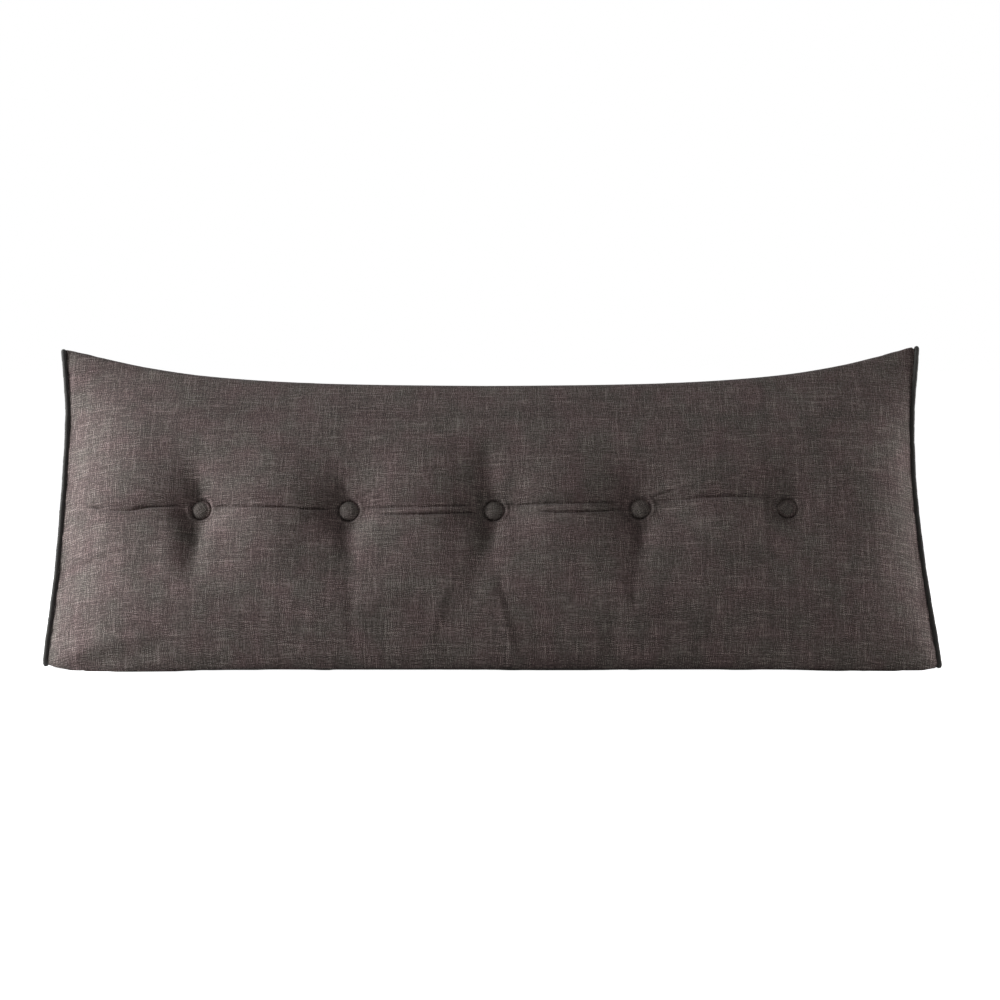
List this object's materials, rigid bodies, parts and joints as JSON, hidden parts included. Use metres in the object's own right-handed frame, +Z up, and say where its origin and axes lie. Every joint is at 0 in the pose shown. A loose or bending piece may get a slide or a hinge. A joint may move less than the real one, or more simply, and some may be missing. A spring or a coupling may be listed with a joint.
{
  "type": "headboard cushion",
  "caption": "Triangular wedge cushion for a headboard: cover cloth wrapped over a soft filling, piped side panels, a sagging ridge and a row of covered buttons.",
  "frame": {"origin": "on the floor, under the middle of the cushion", "axes": "+X along the cushion towards its right end as seen from the front, +Y towards the back, +Z up"},
  "size_m": [1.4065, 0.2728, 0.5041],
  "materials": {
    "cover_cloth": "matt slubbed plain weave, taupe brown",
    "piping_cloth": "matt plain weave on the bias, dark grey brown",
    "button_cloth": "matt plain weave, taupe grey"
  },
  "bodies": {
    "root": {"cushion": "cover_cloth", "side_panel_left": "cover_cloth", "side_panel_right": "cover_cloth", "piping_left": "piping_cloth", "piping_right": "piping_cloth", "button_1": "button_cloth", "button_2": "button_cloth", "button_3": "button_cloth", "button_4": "button_cloth", "button_5": "button_cloth"}
  },
  "joints": []
}
